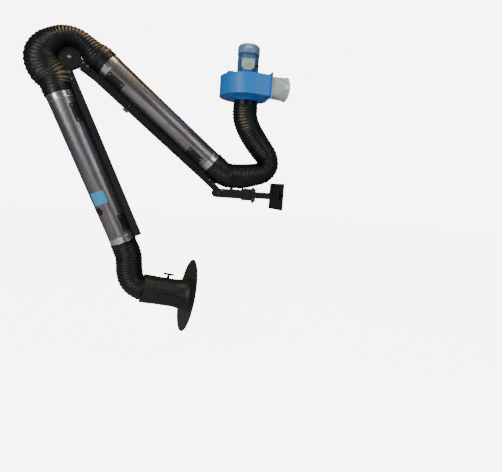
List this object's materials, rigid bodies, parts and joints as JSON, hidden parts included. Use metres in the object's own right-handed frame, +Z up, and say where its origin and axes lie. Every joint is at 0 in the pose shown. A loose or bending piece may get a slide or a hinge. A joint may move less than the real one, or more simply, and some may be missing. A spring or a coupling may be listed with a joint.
{
  "type": "fume extraction arm with fan",
  "caption": "Wall-mounted fume extraction arm: swivel bracket, two jointed arms with steel tubes, ribbed hoses, a tilting hood with a damper, and an upright fan with its motor.",
  "frame": {"origin": "centre of the wall plate's back face", "axes": "+Z up, -X out of the wall along the arm's plane y = 0, -Y on the side with the fan's outlet"},
  "size_m": [1.7858, 0.546, 2.1598],
  "materials": {
    "black_steel": "satin",
    "bracket_black": "satin",
    "galvanised_tube": "satin",
    "bright_collar": "satin",
    "hose_pvc": "satin",
    "zinc": "satin",
    "strap_steel": "satin",
    "bush_plastic": "matte",
    "friction_lining": "matte",
    "plug_rubber": "matte",
    "spring_black": "gloss",
    "rod_chrome": "gloss",
    "link_steel": "satin",
    "hood_plastic": "satin",
    "disc_plastic": "satin",
    "damper_steel": "satin",
    "handle_plastic": "satin",
    "fan_blue": "satin",
    "lug_blue": "satin",
    "galvanised_sheet": "satin",
    "motor_grey": "satin",
    "cowl_grey": "satin",
    "box_grey": "satin",
    "gland_black": "matte",
    "impeller_alu": "satin",
    "cooling_plastic": "matte"
  },
  "bodies": {
    "base": {"wall_plate": "black_steel", "wall_beam": "black_steel", "knuckle_bushes": "bush_plastic", "fan_scroll": "fan_blue", "fan_backplate": "fan_blue", "fan_inlet": "fan_blue", "outlet_transition": "galvanised_sheet", "outlet_bolts": "zinc", "hanging_lugs": "lug_blue", "motor_body": "motor_grey", "motor_cowl": "cowl_grey", "terminal_box": "box_grey", "cable_gland": "gland_black", "motor_bolts": "zinc", "motor_bearings": "link_steel", "fan_hose": "hose_pvc"},
    "swivel": {"swivel_bracket": "black_steel", "pivot_bolt": "zinc", "friction_leaf": "strap_steel", "connector_sleeve": "galvanised_tube", "connector_clamps": "strap_steel", "shoulder_discs": "friction_lining", "shoulder_hose": "hose_pvc"},
    "inner_arm": {"inner_profile": "black_steel", "shoulder_cheeks": "bracket_black", "elbow_cheeks": "bracket_black", "hinge_pins": "zinc", "inner_bolts": "zinc", "inner_saddles": "bracket_black", "inner_tube": "galvanised_tube", "inner_collars": "bright_collar", "inner_clamps": "strap_steel", "spring_anchor": "link_steel", "elbow_hose": "hose_pvc"},
    "spring_barrel": {"spring_cylinder": "spring_black"},
    "spring_piston": {"spring_rod": "rod_chrome"},
    "outer_arm": {"outer_profile": "black_steel", "outer_tongues": "bracket_black", "elbow_discs": "friction_lining", "outer_bolts": "zinc", "outer_saddles": "bracket_black", "outer_tube": "galvanised_tube", "outer_collars": "bright_collar", "outer_clamps": "strap_steel", "tube_plug": "plug_rubber", "hood_spider": "link_steel", "hood_hose_upper": "hose_pvc"},
    "link": {"hood_link": "link_steel", "tilt_pin": "zinc", "hood_hose_lower": "hose_pvc"},
    "hood": {"hood_yoke": "link_steel", "hood_neck": "hood_plastic", "hood_body": "hood_plastic", "hood_disc": "disc_plastic"},
    "damper": {"damper_spindle": "zinc", "damper_disc": "damper_steel", "t_handle": "handle_plastic"},
    "rotor": {"rotor_shaft": "link_steel", "impeller": "impeller_alu", "cooling_fan": "cooling_plastic"}
  },
  "joints": [
    {"name": "swivel", "type": "hinge", "parent": "base", "child": "swivel", "pos_m": [-0.2, 0, 0], "axis": [0, 0, 1], "range_deg": [-80, 80], "deforming": ["fan_hose"]},
    {"name": "shoulder", "type": "hinge", "parent": "swivel", "child": "inner_arm", "pos_m": [-0.49, 0, 0], "axis": [0, 1, 0], "range_deg": [-40, 27], "deforming": ["shoulder_hose"]},
    {"name": "elbow", "type": "hinge", "parent": "inner_arm", "child": "outer_arm", "pos_m": [-1.51441, 0, 0.80036], "axis": [0, 1, 0], "range_deg": [-8, 112], "deforming": ["elbow_hose"]},
    {"name": "hood_swivel", "type": "hinge", "parent": "outer_arm", "child": "link", "pos_m": [-0.99833, 0, -0.73004], "axis": [0.4067, 0, -0.9135], "range_deg": [-90, 90], "deforming": ["hood_hose_upper"]},
    {"name": "hood_tilt", "type": "hinge", "parent": "link", "child": "hood", "pos_m": [-0.99833, 0, -0.73004], "axis": [0, 1, 0], "range_deg": [-18, 70], "deforming": ["hood_hose_lower"]},
    {"name": "hood_damper", "type": "hinge", "parent": "hood", "child": "damper", "pos_m": [-0.84076, 0, -0.75782], "axis": [0.1736, 0, 0.9848], "range_deg": [0, 90]},
    {"name": "rotor_spin", "type": "hinge", "parent": "base", "child": "rotor", "pos_m": [-0.31, 0, 0.708], "axis": [0, 0, 1], "continuous": true},
    {"name": "spring_swing", "type": "hinge", "parent": "inner_arm", "child": "spring_barrel", "pos_m": [-1.14257, 0, 0.54538], "axis": [0, 1, 0], "range_deg": [-4, 2]},
    {"name": "spring_stroke", "type": "slide", "parent": "spring_barrel", "child": "spring_piston", "axis": [-0.8464, 0, 0.5326], "range_m": [-0.01, 0.09]}
  ],
  "couplings": [
    {"joint": "spring_swing", "follows": "elbow", "ratio": -0.026},
    {"joint": "spring_stroke", "follows": "elbow", "m_per_rad": 0.0415}
  ]
}
